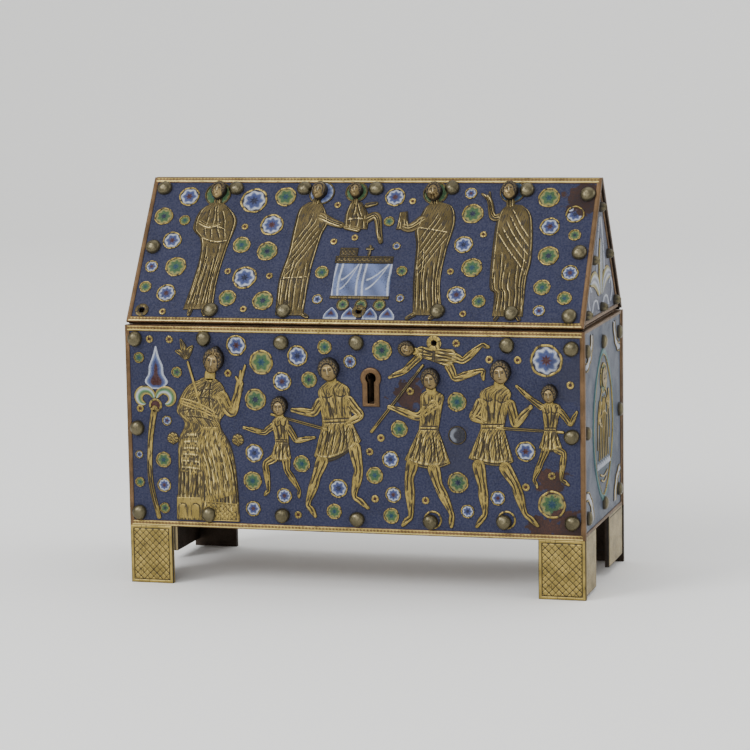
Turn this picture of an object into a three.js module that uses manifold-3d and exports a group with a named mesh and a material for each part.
// A house-shaped casket: a wooden box clad in gilt and enamelled copper plates, with a roof-shaped
// lid that lifts off. Millimetres, +Z up, the front faces -Y. The origin is on the floor, under the
// middle of the whole casket.
//
// Every plate is drawn flat in its own frame: x runs along the plate, y runs up it and z comes out
// of it towards the viewer, with z = 0 on the side that lies against the wood.

import * as THREE from 'three';
import { mergeVertices } from 'three/addons/utils/BufferGeometryUtils.js';
import Module from 'manifold-3d';

const wasm = await Module();
wasm.setup();

// The body, outside sizes
const WIDTH = 200;
const DEPTH = 86;
const FOOT_HEIGHT = 25;
const BODY_TOP = 112;
const FOOT_LEFT = 19;
const FOOT_RIGHT = 20;
const END_FOOT_FRONT = 24.5;
const END_FOOT_BACK = 33;
const END_FOOT_FRONT_LIFT = 1;
const END_FOOT_BACK_LIFT = 3.5;
const END_EDGE = 26;
const END_INSET = 0.3;

// The lid, outside sizes
const LID_WIDTH = 199.2;
const LID_DEPTH = 84.6;
const LID_BOTTOM = 113.6;
const RIDGE = 172.5;
const RIDGE_FLAT = 3;
const GABLE_INSET = 0.9;

// Sheet and board thicknesses
const PLATE = 2.6;
const END_PLATE = 2;
const ENAMEL_SUNK = 0.5;
const WALL = 7;
const LID_WALL = 6;
const BOARD_LIFT = 0.8;
const LID_SEAT = 112.6;
const GAP = 0.3;

// Gilt borders round the enamel field
const BORDER_TOP = 2.6;
const BORDER_BOTTOM = 2.4;
const BORDER_SIDE = 1.9;
const BORDER_END = 1.4;

// Nails, engraving and cast heads
const NAIL = { radius: 3.2, height: 2.2, shank: 1.6, length: 7.5, sides: 6 };
const KNOB = { radius: 2.3, height: 2.4 };
const DOME_SIDES = 6;
const SEAT_LIFT = 0.2;
const HOLE = 2.2;
const HOLE_DEPTH = 5.4;
const HOLE_RING = 3;
const DOME_SHOULDER = 0.72;
const FUSED_DOME_TOP = 0.6;
const OVERCUT = 1;
const FOLD_WIDTH = 0.6;
const FOLD_TIP = 0.1;
const FOLD_DEPTH = 0.4;
const LIMB_HALVES = { neck: [2.4, 1.9], leg: [3, 2.1, 1.3, 0.9], arm: [2.5, 1.9, 1.2], rod: [0.6, 0.6] };
const BELT_SHARES = [0.12, 0.5, 0.88];
const PLEAT_SHARES = { adult: [0.3, 0.7], child: [0.5] };
const PLEAT_REACH = { top: 0.15, middle: 0.45, bottom: 0.85 };
const HEAD_RELIEF = 3.8;
const HEAD_SIDES = 10;
const HEAD_RINGS = [0.35, 0.62, 0.86, 1];
const HEAD_FORM = { edge: 0.35, roundness: 0.9, jaw: 0.18, hair: 0.12, beard: 0.14, eyes: 0.08 };

// The lock: a keyhole with a gilt rim, in the front plate and the front board
const KEYHOLE = { x: 9, y: 91.2, radius: 2.3, slot: 1.5, bottom: 80.5, rim: 2.7, rimBottom: 79 };

// The roof slope, worked out from the lid's sizes
const RISE = RIDGE - LID_BOTTOM;
const RUN = (LID_DEPTH - RIDGE_FLAT) / 2;
const SLOPE = Math.atan2(RISE, RUN);
const SLOPE_LENGTH = Math.hypot(RISE, RUN);

// The heads stand further out than the nails on the back, so the box is moved to stay centred.
const CENTRING = (SEAT_LIFT + HEAD_RELIEF - NAIL.height) / 2;

const enamelled = new THREE.MeshStandardMaterial({ color: 0x4a4a63, roughness: 0.38, metalness: 0.5 });
const bronze = new THREE.MeshStandardMaterial({ color: 0x77714f, roughness: 0.4, metalness: 0.9 });
const darkGilt = new THREE.MeshStandardMaterial({ color: 0x7f6a42, roughness: 0.45, metalness: 0.9 });
const oak = new THREE.MeshStandardMaterial({ color: 0x4f3826, roughness: 0.8, metalness: 0 });

// Solids: from a three.js geometry, and back to one

function toSolid(geometry) {
  geometry.deleteAttribute('normal');
  geometry.deleteAttribute('uv');
  const merged = mergeVertices(geometry, 1e-4);
  return new wasm.Manifold(new wasm.Mesh({
    numProp: 3,
    vertProperties: new Float32Array(merged.attributes.position.array),
    triVerts: new Uint32Array(merged.index.array),
  }));
}

function toGeometry(solid) {
  const { vertProperties, triVerts } = solid.getMesh();
  const geometry = new THREE.BufferGeometry();
  geometry.setAttribute('position', new THREE.BufferAttribute(vertProperties, 3));
  geometry.setIndex(new THREE.BufferAttribute(triVerts, 1));
  geometry.computeVertexNormals();
  return geometry;
}

function extrude(shape, from, to) {
  const geometry = new THREE.ExtrudeGeometry(shape, { depth: to - from, bevelEnabled: false });
  geometry.translate(0, 0, from);
  return toSolid(geometry);
}

function block(x0, x1, y0, y1, z0, z1) {
  const geometry = new THREE.BoxGeometry(x1 - x0, y1 - y0, z1 - z0);
  geometry.translate((x0 + x1) / 2, (y0 + y1) / 2, (z0 + z1) / 2);
  return toSolid(geometry);
}

function joinAll(solids) {
  return solids.reduce((whole, solid) => whole.add(solid));
}

function cutAll(whole, solids) {
  return solids.reduce((rest, solid) => rest.subtract(solid), whole);
}

// Flat outlines, in a plate's x and y

function polygon(points) {
  return new THREE.Shape(points.map(([x, y]) => new THREE.Vector2(x, y)));
}

function rectangle(x0, x1, y0, y1) {
  return polygon([[x0, y0], [x1, y0], [x1, y1], [x0, y1]]);
}

function ellipse(x, y, rx, ry, sides) {
  const turn = (2 * Math.PI) / sides;
  const corners = Array.from({ length: sides }, (_, i) => (i + 0.5) * turn);
  return polygon(corners.map((a) => [x + rx * Math.cos(a), y + ry * Math.sin(a)]));
}

// The smooth line through a few points, as a plain list of points.
function smooth(points, stepsPerSpan) {
  const curve = new THREE.SplineCurve(points.map(([x, y]) => new THREE.Vector2(x, y)));
  return curve.getPoints((points.length - 1) * stepsPerSpan).map(({ x, y }) => [x, y]);
}

// A garment: its left edge from hem to neck, then its right edge from neck to hem.
function garment(left, right) {
  return polygon([...smooth(left, 2), ...smooth(right, 2)]);
}

// A limb, stem or rod: a strip through joints of [x, y, half width], with blunt points at both ends.
function limb(joints) {
  const last = joints.length - 1;
  const headings = joints.map((_, i) => {
    const [x0, y0] = joints[Math.max(i - 1, 0)];
    const [x1, y1] = joints[Math.min(i + 1, last)];
    return Math.atan2(y1 - y0, x1 - x0);
  });
  const offset = (i, turn) => {
    const [x, y, half] = joints[i];
    return [x + half * Math.cos(headings[i] + turn), y + half * Math.sin(headings[i] + turn)];
  };
  const right = joints.map((_, i) => offset(i, -Math.PI / 2));
  const left = joints.map((_, i) => offset(i, Math.PI / 2));
  return polygon([offset(0, Math.PI), ...right, offset(last, 0), ...left.reverse()]);
}

// An engraved line: a strip with pointed ends, widest at its middle points.
function engravedLine(points) {
  const half = (i) => (i === 0 || i === points.length - 1 ? FOLD_TIP : FOLD_WIDTH / 2);
  return limb(points.map(([x, y], i) => [x, y, half(i)]));
}

// The figures. Each gives the outlines reserved in gilt metal and the lines engraved in them.

// A walking figure in a belted tunic, from its joints; scale sets how thick the limbs are.
function walker({ neck, shoulders, waist, hem, legs, arms, rod }, scale) {
  const [leftShoulder, rightShoulder] = shoulders;
  const [leftWaist, rightWaist] = waist;
  const chest = neck.map((value, i) => (value + leftShoulder[i] + rightShoulder[i]) / 3);
  const of = (halves) => (points) => limb(points.map(([x, y], i) => [x, y, scale * halves[i]]));
  const reserved = [
    polygon([hem[0], leftWaist, leftShoulder, rightShoulder, rightWaist, ...hem.slice(1).reverse()]),
    of(LIMB_HALVES.neck)([chest, neck]),
    ...legs.map(of(LIMB_HALVES.leg)),
    ...arms.map(of(LIMB_HALVES.arm)),
    ...(rod ? [of(LIMB_HALVES.rod)(rod)] : []),
  ];
  const along = (a, b, t) => [a[0] + t * (b[0] - a[0]), a[1] + t * (b[1] - a[1])];
  const engraved = [
    BELT_SHARES.map((t) => along(leftWaist, rightWaist, t)),
    ...PLEAT_SHARES[scale < 1 ? 'child' : 'adult'].map((t) => {
      const top = along(along(leftWaist, rightWaist, t), hem[1], PLEAT_REACH.top);
      const bottom = along(hem[0], hem.at(-1), t);
      return [top, along(top, bottom, PLEAT_REACH.middle), along(top, bottom, PLEAT_REACH.bottom)];
    }),
  ];
  return { reserved, engraved };
}

const WALKERS = {
  soldier_near_lock: walker({
    neck: [-8, 90], shoulders: [[-14, 85], [-0.5, 86.5]], waist: [[-12.5, 71.5], [0.6, 72.4]],
    hem: [[-16.5, 57.5], [-8.5, 55.5], [4.5, 64.5]],
    legs: [[[-12, 58], [-15.5, 49], [-19.5, 37], [-16, 31]], [[1, 64], [3, 52], [1, 41], [7.5, 35.5]]],
    arms: [[[-12, 82], [-16.5, 76], [-26.5, 77]], [[-2, 83], [4, 75.5], [-3, 70.5]]],
    rod: [[-10, 68.8], [-35.5, 75]],
  }, 1),
  child_left: walker({
    neck: [-31, 74.8], shoulders: [[-34.8, 71.4], [-27.5, 72]], waist: [[-33.5, 63], [-27.5, 63]],
    hem: [[-36, 56], [-31, 54.5], [-26.5, 56]],
    legs: [
      [[-33, 57], [-38, 53.5], [-37, 42.5], [-39, 39.5]],
      [[-29, 57], [-28.5, 51], [-23.5, 43], [-23.5, 39]],
    ],
    arms: [[[-33.5, 70.5], [-38.5, 67], [-48, 69]], [[-28.5, 70.5], [-24, 64], [-15.5, 65.5]]],
  }, 0.7),
  soldier_middle: walker({
    neck: [35, 87], shoulders: [[30.5, 84], [40.5, 84]], waist: [[29.5, 70], [38, 70]],
    hem: [[23, 57], [33, 53.5], [43, 56]],
    legs: [[[27, 58], [25, 49], [25.5, 33.5], [21.5, 28.5]], [[35, 56], [37.5, 47], [43, 35], [43, 28.5]]],
    arms: [[[38, 82], [29, 75.5], [16, 79.5]]],
    rod: [[8.5, 68], [32, 97.5]],
  }, 1),
  child_carried: walker({
    neck: [28, 103], shoulders: [[31, 105], [30, 100.5]], waist: [[37, 104.5], [36.5, 98.5]],
    hem: [[45, 104], [47, 100], [42, 96.5]],
    legs: [
      [[44, 101], [49, 99.5], [57, 106], [60.5, 105]],
      [[42, 98.5], [45.5, 92], [57, 95.5], [57.5, 91]],
    ],
    arms: [[[31, 101.5], [23.5, 94.5], [16.5, 91.5]]],
  }, 0.75),
  soldier_right: walker({
    neck: [64, 90], shoulders: [[56, 86], [69, 86]], waist: [[56, 71], [66, 71.5]],
    hem: [[50.5, 58.5], [61.5, 55.5], [70, 57.5]],
    legs: [
      [[54.5, 58], [56.5, 47], [57.5, 35.5], [53.5, 29]],
      [[65, 57], [70.5, 48], [74.5, 36], [80.5, 30.5]],
    ],
    arms: [[[57, 83.5], [53, 76], [59, 73.5]], [[68, 83.5], [71, 73.5], [78, 81.4]]],
    rod: [[62.5, 71.5], [91.5, 70.4]],
  }, 1),
  child_right: walker({
    neck: [85.5, 83], shoulders: [[82, 81], [90, 81]], waist: [[83, 71], [88, 71]],
    hem: [[80.5, 63.5], [85.5, 62], [90.5, 64]],
    legs: [[[84, 64], [81.5, 58], [78.5, 50.5], [80, 46.5]], [[87, 64], [91, 61.5], [90, 51], [93.5, 48]]],
    arms: [[[83, 80], [77.4, 84], [71, 89.6]], [[89, 80], [94, 74], [97, 79.5]]],
  }, 0.65),
};

// The seated ruler, on a throne cut from the same metal, with a flowering sceptre.
const RULER = {
  reserved: [
    garment(
      [[-78.5, 28], [-77.5, 46], [-77, 62], [-74, 70], [-77.5, 76], [-73, 85.5], [-65, 90]],
      [[-60, 90], [-56, 86], [-54.5, 77], [-58, 70], [-53, 60], [-51, 48], [-50, 28]],
    ),
    limb([[-62.5, 88, 2.6], [-61.5, 94, 2.4]]),
    limb([[-58, 84, 3], [-53, 75.5, 2.4], [-48.5, 87, 1.6], [-47, 93.5, 0.5]]),
    ellipse(-79, 63.5, 2.6, 2.6, 8),
    ellipse(-50.5, 63, 2.8, 2.8, 8),
    limb([[-66, 76, 0.6], [-72, 97, 0.6]]),
    limb([[-72.6, 98.6, 1.3], [-75, 106.5, 0.5]]),
    limb([[-73.4, 100.2, 1], [-77, 101, 0.6]]),
    limb([[-73.2, 101, 1], [-69.5, 103.4, 0.6]]),
  ],
  engraved: [
    [[-75, 80], [-68, 77], [-60, 74]],
    [[-72.4, 69.6], [-66.5, 68.5], [-60, 69.6]],
    [[-71, 65], [-70, 50], [-69, 38]],
    [[-66, 66], [-61, 52], [-59, 38]],
    [[-61, 67], [-55.5, 55], [-54, 40]],
    [[-77, 48], [-74, 47.5], [-71, 48]],
    [[-77, 37], [-65, 36], [-51, 37]],
  ],
};

// The plant beside the ruler: a bent stem with a knot under the flower.
const PLANT = {
  reserved: [
    limb([[-86.5, 28, 1], [-90, 44, 1.1], [-90, 59, 1.1], [-88.5, 71, 1.2], [-87, 77.5, 1.2]]),
    ellipse(-87, 77.5, 2.9, 2.9, 8),
  ],
  engraved: [],
};

// The roof: four robed figures, a child held over an altar, and the altar's top.
const ROBED = {
  saint_left: {
    reserved: [
      garment(
        [[-75, 6], [-73, 20], [-72, 33], [-73.5, 41], [-77.5, 46], [-76, 54.5], [-71, 59]],
        [[-66, 59], [-62.5, 56], [-59, 52], [-58, 47.5], [-60.5, 35], [-62, 20], [-61.5, 6.5]],
      ),
      limb([[-68.5, 58, 2], [-68.5, 62, 1.8]]),
      limb([[-71.4, 7.4, 1.2], [-72, 2.9, 0.9]]),
      limb([[-66, 6.5, 1.2], [-64.5, 2.9, 0.9]]),
    ],
    engraved: [
      [[-75.5, 50], [-70, 46], [-63, 45]],
      [[-72, 40], [-69.5, 25], [-69, 10]],
      [[-67, 41], [-65.5, 26], [-64.5, 10]],
      [[-61, 48], [-63, 38], [-64, 28]],
    ],
  },
  woman: {
    reserved: [
      garment(
        [[-33.5, 4], [-34.5, 21], [-32.5, 34], [-32, 46], [-31, 55.5], [-27, 59.5]],
        [[-21.5, 59.5], [-19, 55], [-17, 49], [-19, 42], [-21, 24.5], [-21, 4]],
      ),
      limb([[-24, 58, 2], [-23.5, 62, 1.8]]),
      limb([[-22, 53, 2.4], [-15.6, 49.6, 2], [-9.5, 47.5, 1.4]]),
      limb([[-22, 5, 1.2], [-18.5, 3, 0.9]]),
    ],
    engraved: [
      [[-20, 50], [-25, 38], [-32, 24]],
      [[-29, 55], [-30, 44], [-31, 33]],
      [[-34, 22], [-28, 21.5], [-21.5, 22]],
      [[-34, 17.5], [-28, 17], [-21.5, 17.5]],
      [[-28, 15], [-28, 11], [-27.5, 7]],
    ],
  },
  held_child: {
    reserved: [
      garment([[-9.5, 46], [-10, 53], [-8.5, 59.5]], [[-3.5, 59.5], [0.5, 53], [1, 46]]),
      limb([[-6.5, 58, 1.6], [-6.5, 61.5, 1.4]]),
      limb([[-1.6, 50, 2.2], [4, 52.5, 1.9], [6.5, 44, 1.4], [8, 39, 1]]),
      limb([[-2, 57.5, 1.4], [4, 59, 0.9]]),
      limb([[-10, 47.5, 1.4], [-2, 45.6, 1.5]]),
    ],
    engraved: [[[-8, 54.4], [-4.5, 53.4], [-1.5, 54.2]], [[-8, 50], [-4, 49], [-1.8, 49.8]]],
  },
  elder: {
    reserved: [
      garment(
        [[26.5, 5], [24.5, 21.5], [23.5, 38], [22, 46], [24.5, 56], [28, 59.5]],
        [[32, 59.5], [37, 57], [39, 49], [37, 35.5], [36.5, 20], [39.5, 5]],
      ),
      limb([[29, 58, 2], [28.5, 62, 1.8]]),
      limb([[26, 52, 2.6], [20, 47, 2.2], [15.5, 48, 1.8]]),
      garment([[13.5, 46], [13.8, 50], [14, 54.5]], [[17.5, 55], [18.5, 50], [20, 46]]),
      limb([[28, 6, 1.2], [23.5, 3, 0.9]]),
      limb([[37, 6, 1.2], [33.5, 3, 0.9]]),
    ],
    engraved: [
      [[36, 55], [31, 49], [24.5, 47.2]],
      [[25, 43], [28, 28], [34, 20]],
      [[30, 43], [32, 32], [36, 24]],
      [[27, 22], [28, 15], [28.5, 8]],
      [[33, 17], [33, 12], [33.5, 8]],
    ],
  },
  saint_right: {
    reserved: [
      garment(
        [[60.5, 5], [60, 15.5], [57.5, 20], [56.5, 44], [57.5, 54], [60.5, 58.5]],
        [[64.5, 58.5], [68, 57.5], [72, 51.5], [74, 33.5], [73, 22], [73.5, 5]],
      ),
      limb([[62, 57, 2], [61.5, 62, 1.8]]),
      limb([[59, 53, 1.9], [55, 52.5, 1.6], [52.5, 60.5, 1.2], [48.5, 64, 0.5]]),
      limb([[52.5, 60.5, 1], [52, 65, 0.4]]),
      limb([[63, 5.5, 1.1], [61.5, 2.9, 0.9]]),
      limb([[71, 5.5, 1.1], [72.5, 2.9, 0.9]]),
    ],
    engraved: [
      [[58, 51], [62, 42], [69, 36]],
      [[68, 55], [69.5, 42], [71, 26]],
      [[61, 40], [60.5, 30], [60, 22]],
      [[66, 34], [66.5, 22], [66.5, 9]],
    ],
  },
  altar: {
    reserved: [
      rectangle(-11, 14.5, 29.5, 33),
      rectangle(-9.5, -1.5, 32.5, 37),
      limb([[3.5, 33, 1.3], [3.5, 36.5, 1]]),
    ],
    engraved: [],
  },
};

// The robed figure in the almond-shaped frame on each end.
const END_FIGURE = {
  reserved: [
    garment([[-10, 52], [-8, 66], [-9, 76], [-4, 84]], [[4, 84], [9, 76], [8, 66], [10, 52]]),
    ellipse(0, 88, 4.2, 5, 10),
  ],
  engraved: [
    [[-6, 80], [-2, 70], [-5, 55]],
    [[5, 80], [3, 70], [4, 55]],
  ],
};

// Nails that still hold, and holes whose nail is lost, on the two front plates.
const BODY_NAILS = [
  [-95.5, 106], [-64.5, 106.6], [-30, 105.5], [3, 106], [67.5, 106], [94.5, 105],
  [-95.5, 67.5], [94.5, 68.5],
  [-95.5, 30.8], [-64, 30.8], [-31, 31.5], [2, 31], [34, 31], [65.5, 32], [94.5, 32.5],
];
const BODY_LOST = [[36.5, 106.5]];
const ROOF_NAILS = [
  [-94, 66], [-61, 66], [-30, 66], [2, 66], [35.5, 66.5], [68.2, 65.5], [94.5, 63.5],
  [-94, 36.5], [94, 35.5],
  [-62.5, 6], [-30, 6], [37, 7], [68.5, 6.5], [93, 5.4],
];
const ROOF_LOST = [[-93.5, 5.6], [3, 6.5]];

// Nails on the sides that are not seen straight on: rows at even steps.
const BACK_NAIL_STEP = 47;
const BACK_NAIL_INSET = 6;
const BACK_NAIL_COLUMNS = [-2, -1, 0, 1, 2];
const END_NAILS = [
  [-35, 103], [0, 103], [35, 103], [-35.5, 69], [35.5, 69], [-33.5, 33], [1, 33.5], [33.5, 34],
];
const GABLE_NAILS = [[0, 160], [-16, 139], [16, 139], [-31, 117.5], [2, 117.5], [31, 117.5]];

// Cast heads: centre on the plate, size, lean in degrees, and what the hair and beard do.
const BODY_HEADS = {
  head_ruler: { x: -60, y: 97.5, width: 8.6, height: 11, lean: -14, beard: 0.6, crown: 1 },
  head_soldier_near_lock: { x: -9, y: 94.6, width: 8.8, height: 10, lean: 8, beard: 0, crown: 0 },
  head_child_left: { x: -31, y: 78.6, width: 6.8, height: 8.2, lean: 0, beard: 0, crown: 0 },
  head_soldier_middle: { x: 35, y: 91.6, width: 7.6, height: 9, lean: 10, beard: 0, crown: 0 },
  head_child_carried: { x: 25, y: 104, width: 6.4, height: 7, lean: 70, beard: 0, crown: 0 },
  head_soldier_right: { x: 65, y: 95, width: 8.4, height: 9.8, lean: 4, beard: 0, crown: 0 },
  head_child_right: { x: 85.5, y: 86.4, width: 6.4, height: 7.8, lean: 0, beard: 0, crown: 0 },
};
const ROOF_HEADS = {
  head_saint_left: { x: -68.5, y: 64.3, width: 6.6, height: 8.4, lean: -4, beard: 0, crown: 0 },
  head_woman: { x: -22.8, y: 64.3, width: 6.6, height: 8.4, lean: -10, beard: 0, crown: 0.5 },
  head_held_child: { x: -6.5, y: 64.4, width: 5.8, height: 6.8, lean: 0, beard: 0, crown: 0 },
  head_elder: { x: 28, y: 64, width: 7, height: 8.6, lean: 6, beard: 1, crown: 0 },
  head_saint_right: { x: 61, y: 64.6, width: 6.8, height: 8.4, lean: 6, beard: 0, crown: 0 },
};

// Fastenings

// A nail as it is driven: a round domed head and a square shank, in a plate's own frame.
function nailGeometry() {
  const { radius, height, shank, length, sides } = NAIL;
  const dome = [[0, 0], [radius, 0], [DOME_SHOULDER * radius, DOME_SHOULDER * height], [0, height]];
  const head = new THREE.LatheGeometry(dome.map(([r, h]) => new THREE.Vector2(r, h)), sides);
  head.rotateX(Math.PI / 2);
  const half = shank / 2;
  return toGeometry(toSolid(head).add(block(-half, half, -half, half, -length, height / 4)));
}

// A nail head that is fused to its plate: a few-sided dome on the face, sunk a little into it.
function fusedDome([x, y], { radius, height }, face) {
  const root = -ENAMEL_SUNK - GAP;
  const profile = [[0, root], [radius, root], [FUSED_DOME_TOP * radius, height], [0, height]];
  const dome = new THREE.LatheGeometry(profile.map(([r, h]) => new THREE.Vector2(r, h)), DOME_SIDES);
  dome.rotateX(Math.PI / 2);
  dome.translate(x, y, face);
  return toSolid(dome);
}

function squareHole([x, y], from, to) {
  return block(x - HOLE / 2, x + HOLE / 2, y - HOLE / 2, y + HOLE / 2, from, to);
}

// A cast head in half relief on a flat back. Over an egg-shaped outline the face swells to the
// middle, with a shallow hollow for the eyes; hair, crown and beard are thicker masses.
function headGeometry({ width, height, beard, crown }) {
  const positions = [0, 0, HEAD_RELIEF];
  const index = [];
  const place = (ring, side) => {
    const angle = (2 * Math.PI * side) / HEAD_SIDES;
    const across = ring * Math.cos(angle);
    const up = ring * Math.sin(angle);
    const jaw = 1 - HEAD_FORM.jaw * Math.max(0, -up);
    const dome = Math.sqrt(1 - HEAD_FORM.roundness * ring * ring);
    const swell = HEAD_FORM.edge + (1 - HEAD_FORM.edge) * dome;
    const hair = HEAD_FORM.hair * Math.max(0, up - 0.3) * (1 + crown);
    const chin = HEAD_FORM.beard * beard * Math.max(0, -up - 0.3);
    const eyes = HEAD_FORM.eyes * Math.exp(-((across * across) / 0.1 + (up - 0.25) ** 2 / 0.03));
    const out = HEAD_RELIEF * Math.min(1, swell + hair + chin - eyes);
    return [(across * jaw * width) / 2, (up * height) / 2, out];
  };
  HEAD_RINGS.forEach((ring) => {
    for (let side = 0; side < HEAD_SIDES; side += 1) {
      positions.push(...place(ring, side));
    }
  });
  for (let side = 0; side < HEAD_SIDES; side += 1) {
    const [x, y] = place(1, side);
    positions.push(x, y, 0);
  }
  positions.push(0, 0, 0);
  const back = positions.length / 3 - 1;
  const at = (ring, side) => 1 + ring * HEAD_SIDES + (side % HEAD_SIDES);
  for (let side = 0; side < HEAD_SIDES; side += 1) {
    index.push(0, at(0, side), at(0, side + 1));
    HEAD_RINGS.forEach((_, ring) => {
      index.push(at(ring, side), at(ring + 1, side), at(ring + 1, side + 1));
      index.push(at(ring, side), at(ring + 1, side + 1), at(ring, side + 1));
    });
    index.push(at(HEAD_RINGS.length, side), back, at(HEAD_RINGS.length, side + 1));
  }
  const geometry = new THREE.BufferGeometry();
  geometry.setAttribute('position', new THREE.Float32BufferAttribute(positions, 3));
  geometry.setIndex(index);
  geometry.computeVertexNormals();
  return geometry;
}

// Plates

// Sinks the enamel field into a plate, then sets back what is reserved in it and cuts the engraving.
function champleve(plate, thickness, field, figures) {
  const floor = thickness - ENAMEL_SUNK;
  const sunk = plate.subtract(extrude(field, floor, thickness + OVERCUT));
  const reserved = figures.flatMap((figure) => figure.reserved);
  const engraved = figures.flatMap((figure) => figure.engraved);
  const whole = joinAll([sunk, ...reserved.map((shape) => extrude(shape, floor - GAP, thickness))]);
  const [bottom, top] = [thickness - FOLD_DEPTH, thickness + OVERCUT];
  const cuts = engraved.map((line) => extrude(engravedLine(line), bottom, top));
  return cutAll(whole, cuts);
}

// Punches the nail holes; a hole whose nail is lost keeps its ring of bare metal.
function punch(plate, thickness, nails, lost) {
  const ring = ([x, y]) => extrude(ellipse(x, y, HOLE_RING, HOLE_RING, 8), thickness / 2, thickness);
  const holes = [...nails, ...lost].map((at) => squareHole(at, -OVERCUT, thickness + OVERCUT));
  return cutAll(joinAll([plate, ...lost.map(ring)]), holes);
}

// The keyhole: a round eye over a straight slot, widened all round by an edge.
function keyhole(edge, bottom) {
  const { x, y, radius, slot } = KEYHOLE;
  const eye = ellipse(x, y, radius + edge, radius + edge, 10);
  return [eye, rectangle(x - slot - edge, x + slot + edge, bottom, y)];
}

const bodyOutline = polygon([
  [-WIDTH / 2, 0], [-WIDTH / 2 + FOOT_LEFT, 0], [-WIDTH / 2 + FOOT_LEFT, FOOT_HEIGHT],
  [WIDTH / 2 - FOOT_RIGHT, FOOT_HEIGHT], [WIDTH / 2 - FOOT_RIGHT, 0], [WIDTH / 2, 0],
  [WIDTH / 2, BODY_TOP], [-WIDTH / 2, BODY_TOP],
]);
const bodyField = rectangle(
  -WIDTH / 2 + BORDER_SIDE, WIDTH / 2 - BORDER_SIDE,
  FOOT_HEIGHT + BORDER_BOTTOM, BODY_TOP - BORDER_TOP,
);

function frontPlate() {
  const figures = [PLANT, RULER, ...Object.values(WALKERS)];
  const rim = { reserved: keyhole(KEYHOLE.rim, KEYHOLE.rimBottom), engraved: [] };
  const plate = champleve(extrude(bodyOutline, 0, PLATE), PLATE, bodyField, [rim, ...figures]);
  const lock = keyhole(0, KEYHOLE.bottom).map((shape) => extrude(shape, -OVERCUT, PLATE + OVERCUT));
  return cutAll(punch(plate, PLATE, BODY_NAILS, BODY_LOST), lock);
}

function backPlate() {
  const plate = champleve(extrude(bodyOutline, 0, PLATE), PLATE, bodyField, []);
  const nails = backNails(FOOT_HEIGHT, BODY_TOP);
  return joinAll([plate, ...nails.map((at) => fusedDome(at, NAIL, PLATE))]);
}

// A row of nails near each long edge of a back plate, and one at the middle of each short edge.
function backNails(bottom, top) {
  const columns = BACK_NAIL_COLUMNS.map((step) => step * BACK_NAIL_STEP);
  const rows = [bottom + BACK_NAIL_INSET, top - BACK_NAIL_INSET];
  const ends = [columns[0], columns.at(-1)].map((x) => [x, (bottom + top) / 2]);
  return [...rows.flatMap((y) => columns.map((x) => [x, y])), ...ends];
}

// An end plate between the front and back plates; side is 1 for the right end and -1 for the left,
// where the front of the casket lies at the other end of the plate's x.
function endPlate(side) {
  const half = DEPTH / 2 - PLATE - GAP;
  const front = -side * half;
  const back = side * half;
  const frontInner = side * (END_FOOT_FRONT - DEPTH / 2);
  const backInner = side * (DEPTH / 2 - END_FOOT_BACK);
  const outline = polygon([
    [front, END_FOOT_FRONT_LIFT], [frontInner, END_FOOT_FRONT_LIFT], [frontInner, END_EDGE],
    [backInner, END_EDGE], [backInner, END_FOOT_BACK_LIFT], [back, END_FOOT_BACK_LIFT],
    [back, BODY_TOP], [front, BODY_TOP],
  ]);
  const field = rectangle(
    -half + BORDER_END, half - BORDER_END,
    END_EDGE + BORDER_BOTTOM, BODY_TOP - BORDER_END,
  );
  const plate = champleve(extrude(outline, 0, END_PLATE), END_PLATE, field, [END_FIGURE]);
  return joinAll([plate, ...END_NAILS.map(([x, y]) => fusedDome([side * x, y], NAIL, END_PLATE))]);
}

// The roof's section, as [across, height] over the casket's middle line, for the slope in front.
// A depth is measured square to the slope, inwards from its outer face.

function eavePoint(depth, height) {
  return [-LID_DEPTH / 2 + (height - LID_BOTTOM) / Math.tan(SLOPE) + depth / Math.sin(SLOPE), height];
}

// Where this slope at one depth meets the far slope at another.
function ridgePoint(depth, farDepth) {
  const across = (depth - farDepth) / (2 * Math.sin(SLOPE));
  const halfSpan = LID_DEPTH / 2 - (depth + farDepth) / (2 * Math.sin(SLOPE));
  return [across, LID_BOTTOM + halfSpan * Math.tan(SLOPE)];
}

// Turns a section into a slab as long as the lid, in the roof plate's own frame.
function slopeSlab(section, length) {
  const flat = section.map(([across, height]) => {
    const dy = across + LID_DEPTH / 2;
    const dz = height - LID_BOTTOM;
    return [
      dy * Math.cos(SLOPE) + dz * Math.sin(SLOPE),
      PLATE - dy * Math.sin(SLOPE) + dz * Math.cos(SLOPE),
    ];
  });
  const geometry = new THREE.ExtrudeGeometry(polygon(flat), { depth: length, bevelEnabled: false });
  const along = new THREE.Vector3(1, 0, 0);
  const up = new THREE.Vector3(0, 1, 0);
  const out = new THREE.Vector3(0, 0, 1);
  geometry.applyMatrix4(new THREE.Matrix4().makeBasis(up, out, along));
  geometry.translate(-length / 2, 0, 0);
  return toSolid(geometry);
}

const roofField = rectangle(
  -LID_WIDTH / 2 + BORDER_SIDE, LID_WIDTH / 2 - BORDER_SIDE,
  BORDER_BOTTOM, SLOPE_LENGTH - BORDER_TOP,
);

// A roof plate is cut level at the eave; at the ridge it has half of the flat top and an upright joint.
function roofBlank() {
  const [, jointFoot] = ridgePoint(PLATE, PLATE + GAP * Math.sin(SLOPE));
  return slopeSlab([
    eavePoint(0, LID_BOTTOM), [-RIDGE_FLAT / 2, RIDGE], [-GAP / 2, RIDGE], [-GAP / 2, jointFoot],
    eavePoint(PLATE, LID_BOTTOM),
  ], LID_WIDTH);
}

function frontRoof() {
  const plate = champleve(roofBlank(), PLATE, roofField, Object.values(ROBED));
  return punch(plate, PLATE, ROOF_NAILS, ROOF_LOST);
}

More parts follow.
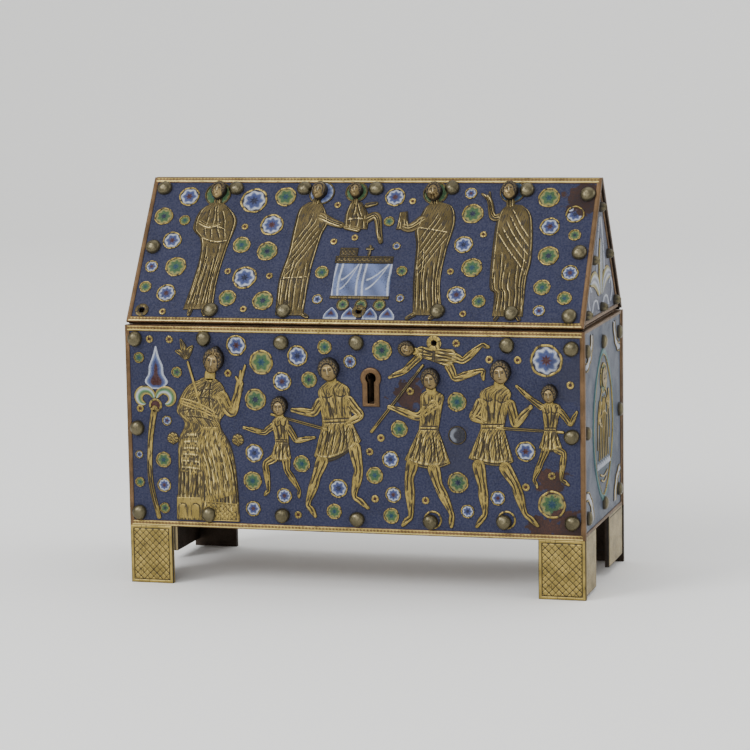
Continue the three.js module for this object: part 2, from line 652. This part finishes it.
function backRoof() {
  const plate = champleve(roofBlank(), PLATE, roofField, []);
  const nails = backNails(0, SLOPE_LENGTH);
  return joinAll([plate, ...nails.map((at) => fusedDome(at, NAIL, PLATE))]);
}

// A triangle that fills the gable inside a given depth of the roof, from a given height up.
function gableOutline(depth, bottom) {
  const [across] = eavePoint(depth, bottom);
  const [, top] = ridgePoint(depth, depth);
  return polygon([[across, bottom], [-across, bottom], [0, top]]);
}

function gablePlate(side) {
  const depth = PLATE + GAP;
  const plate = extrude(gableOutline(depth, LID_BOTTOM), 0, END_PLATE);
  const field = gableOutline(depth + BORDER_END, LID_BOTTOM + BORDER_END);
  const sunk = champleve(plate, END_PLATE, field, []);
  return joinAll([sunk, ...GABLE_NAILS.map(([x, y]) => fusedDome([side * x, y], KNOB, END_PLATE))]);
}

// Boards

const BOARD_END = WIDTH / 2 - END_INSET - END_PLATE - GAP;
const BOARD_BOTTOM = FOOT_HEIGHT + BOARD_LIFT;
const END_BOARD_HALF = DEPTH / 2 - PLATE - 2 * GAP - WALL;
const LID_BOARD_END = LID_WIDTH / 2 - GABLE_INSET - END_PLATE - GAP;
const LID_BOARD_OUTER = PLATE + GAP;
const LID_BOARD_INNER = LID_BOARD_OUTER + LID_WALL;

function bore(board, nails) {
  return cutAll(board, nails.map((at) => squareHole(at, -GAP - HOLE_DEPTH, OVERCUT)));
}

function longBoard() {
  return block(-BOARD_END, BOARD_END, BOARD_BOTTOM, LID_SEAT, -GAP - WALL, -GAP);
}

function frontBoard() {
  const lock = keyhole(0, KEYHOLE.bottom).map((shape) => extrude(shape, -2 * WALL, OVERCUT));
  return cutAll(bore(longBoard(), [...BODY_NAILS, ...BODY_LOST]), lock);
}

function endBoard() {
  return block(-END_BOARD_HALF, END_BOARD_HALF, BOARD_BOTTOM, LID_SEAT, -GAP - WALL, -GAP);
}

function floorBoard() {
  const half = BOARD_END - WALL - GAP;
  return block(-half, half, -END_BOARD_HALF, END_BOARD_HALF, BOARD_BOTTOM, BOARD_BOTTOM + WALL);
}

// The front lid board runs up to the back slope, and the back one butts against its inner face.
function lidBoard(farDepth) {
  const bottom = LID_SEAT + GAP;
  return slopeSlab([
    eavePoint(LID_BOARD_OUTER, bottom), ridgePoint(LID_BOARD_OUTER, farDepth),
    ridgePoint(LID_BOARD_INNER, farDepth), eavePoint(LID_BOARD_INNER, bottom),
  ], 2 * LID_BOARD_END);
}

function gableBoard() {
  return extrude(gableOutline(LID_BOARD_INNER + GAP, LID_SEAT + GAP), -GAP - LID_WALL, -GAP);
}

// The casket, put together side by side

const casket = new THREE.Group();
casket.position.y = CENTRING;

// A frame for one side: turned about the upright axis, set out from the middle, then tilted back.
function sideFrame(turn, distance, height, tilt) {
  const turned = new THREE.Group();
  const frame = new THREE.Group();
  turned.rotation.z = turn;
  frame.position.set(0, -distance, height);
  frame.rotation.x = tilt;
  turned.add(frame);
  casket.add(turned);
  return frame;
}

function put(frame, name, geometry, material) {
  const mesh = new THREE.Mesh(geometry, material.clone());
  mesh.name = name;
  frame.add(mesh);
  return mesh;
}

const nail = nailGeometry();

function putNails(frame, prefix, places) {
  places.forEach(([x, y], i) => {
    put(frame, `${prefix}_${i + 1}`, nail, bronze).position.set(x, y, PLATE + SEAT_LIFT);
  });
}

function putHeads(frame, heads) {
  Object.entries(heads).forEach(([name, head]) => {
    const mesh = put(frame, name, headGeometry(head), darkGilt);
    mesh.position.set(head.x, head.y, PLATE + SEAT_LIFT);
    mesh.rotation.z = THREE.MathUtils.degToRad(head.lean);
  });
}

const UPRIGHT = Math.PI / 2;
const QUARTER = Math.PI / 2;
const front = sideFrame(0, DEPTH / 2 - PLATE, 0, UPRIGHT);
const back = sideFrame(2 * QUARTER, DEPTH / 2 - PLATE, 0, UPRIGHT);
const right = sideFrame(QUARTER, WIDTH / 2 - END_INSET - END_PLATE, 0, UPRIGHT);
const left = sideFrame(-QUARTER, WIDTH / 2 - END_INSET - END_PLATE, 0, UPRIGHT);
const eaveOut = LID_DEPTH / 2 - PLATE * Math.sin(SLOPE);
const eaveUp = LID_BOTTOM - PLATE * Math.cos(SLOPE);
const frontSlope = sideFrame(0, eaveOut, eaveUp, SLOPE);
const backSlope = sideFrame(2 * QUARTER, eaveOut, eaveUp, SLOPE);
const rightGable = sideFrame(QUARTER, LID_WIDTH / 2 - GABLE_INSET - END_PLATE, 0, UPRIGHT);
const leftGable = sideFrame(-QUARTER, LID_WIDTH / 2 - GABLE_INSET - END_PLATE, 0, UPRIGHT);

put(front, 'board_front', toGeometry(frontBoard()), oak);
put(back, 'board_back', toGeometry(longBoard()), oak);
put(left, 'board_left', toGeometry(endBoard()), oak);
put(right, 'board_right', toGeometry(endBoard()), oak);
put(casket, 'board_floor', toGeometry(floorBoard()), oak);
const frontLidBoard = lidBoard(LID_BOARD_OUTER);
const backLidBoard = lidBoard(LID_BOARD_INNER + GAP);
put(frontSlope, 'lid_board_front', toGeometry(bore(frontLidBoard, [...ROOF_NAILS, ...ROOF_LOST])), oak);
put(backSlope, 'lid_board_back', toGeometry(backLidBoard), oak);
put(leftGable, 'lid_gable_board_left', toGeometry(gableBoard()), oak);
put(rightGable, 'lid_gable_board_right', toGeometry(gableBoard()), oak);

put(front, 'plate_front', toGeometry(frontPlate()), enamelled);
put(back, 'plate_back', toGeometry(backPlate()), enamelled);
put(left, 'plate_left', toGeometry(endPlate(-1)), enamelled);
put(right, 'plate_right', toGeometry(endPlate(1)), enamelled);
put(frontSlope, 'roof_front', toGeometry(frontRoof()), enamelled);
put(backSlope, 'roof_back', toGeometry(backRoof()), enamelled);
put(leftGable, 'gable_left', toGeometry(gablePlate(-1)), enamelled);
put(rightGable, 'gable_right', toGeometry(gablePlate(1)), enamelled);

putHeads(front, BODY_HEADS);
putHeads(frontSlope, ROOF_HEADS);
putNails(front, 'nail_body', BODY_NAILS);
putNails(frontSlope, 'nail_roof', ROOF_NAILS);

export default casket;
